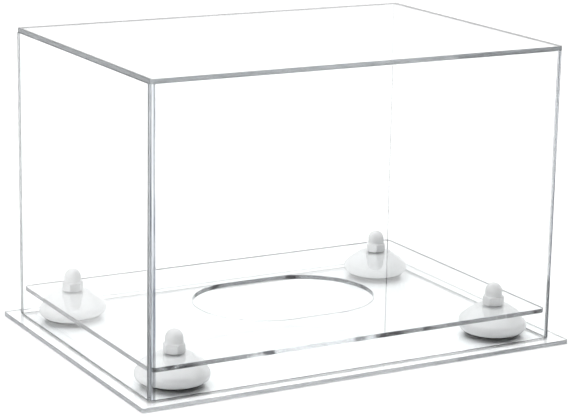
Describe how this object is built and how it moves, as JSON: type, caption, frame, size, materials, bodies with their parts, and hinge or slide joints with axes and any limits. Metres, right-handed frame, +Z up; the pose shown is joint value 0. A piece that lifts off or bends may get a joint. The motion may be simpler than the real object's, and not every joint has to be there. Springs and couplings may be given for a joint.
{
  "type": "ball display case",
  "caption": "Clear display case for an American football: flat base plate, lift-off five-sided cover and a raised platform with an oval seat on white screw-together risers.",
  "frame": {"origin": "middle of the base plate's underside", "axes": "+X along the case's length to the right, +Y to the back, +Z up"},
  "size_m": [0.318, 0.226, 0.203],
  "materials": {
    "clear_cover": "clear polished acrylic sheet, 3 mm",
    "clear_base": "clear polished acrylic sheet, 3 mm, flame-polished edges",
    "clear_platform": "clear polished acrylic sheet, 3 mm, laser-cut edges",
    "white_plastic": "glossy white moulded plastic",
    "black_rubber": "matt black non-slip rubber",
    "stud_steel": "zinc-plated threaded steel"
  },
  "bodies": {
    "base": {"base_plate": "clear_base"},
    "cover": {"cover_wrap": "clear_cover", "cover_back": "clear_cover", "cover_top": "clear_cover"},
    "shelf": {"platform": "clear_platform", "foot_pad_front_left": "black_rubber", "foot_pad_front_right": "black_rubber", "foot_pad_back_left": "black_rubber", "foot_pad_back_right": "black_rubber", "riser_foot_front_left": "white_plastic", "riser_foot_front_right": "white_plastic", "riser_foot_back_left": "white_plastic", "riser_foot_back_right": "white_plastic", "riser_stud_front_left": "stud_steel", "riser_stud_front_right": "stud_steel", "riser_stud_back_left": "stud_steel", "riser_stud_back_right": "stud_steel"},
    "nut_front_left": {"cap_nut_front_left": "white_plastic"},
    "nut_front_right": {"cap_nut_front_right": "white_plastic"},
    "nut_back_left": {"cap_nut_back_left": "white_plastic"},
    "nut_back_right": {"cap_nut_back_right": "white_plastic"}
  },
  "joints": [
    {"name": "cover_lift", "type": "slide", "parent": "base", "child": "cover", "axis": [0, 0, 1], "range_m": [0, 0.25]},
    {"name": "platform_lift", "type": "slide", "parent": "base", "child": "shelf", "axis": [0, 0, 1], "range_m": [0, 0.13]},
    {"name": "nut_front_left_unscrew", "type": "slide", "parent": "shelf", "child": "nut_front_left", "axis": [0, 0, 1], "range_m": [0, 0.016]},
    {"name": "nut_front_right_unscrew", "type": "slide", "parent": "shelf", "child": "nut_front_right", "axis": [0, 0, 1], "range_m": [0, 0.016]},
    {"name": "nut_back_left_unscrew", "type": "slide", "parent": "shelf", "child": "nut_back_left", "axis": [0, 0, 1], "range_m": [0, 0.016]},
    {"name": "nut_back_right_unscrew", "type": "slide", "parent": "shelf", "child": "nut_back_right", "axis": [0, 0, 1], "range_m": [0, 0.016]}
  ]
}
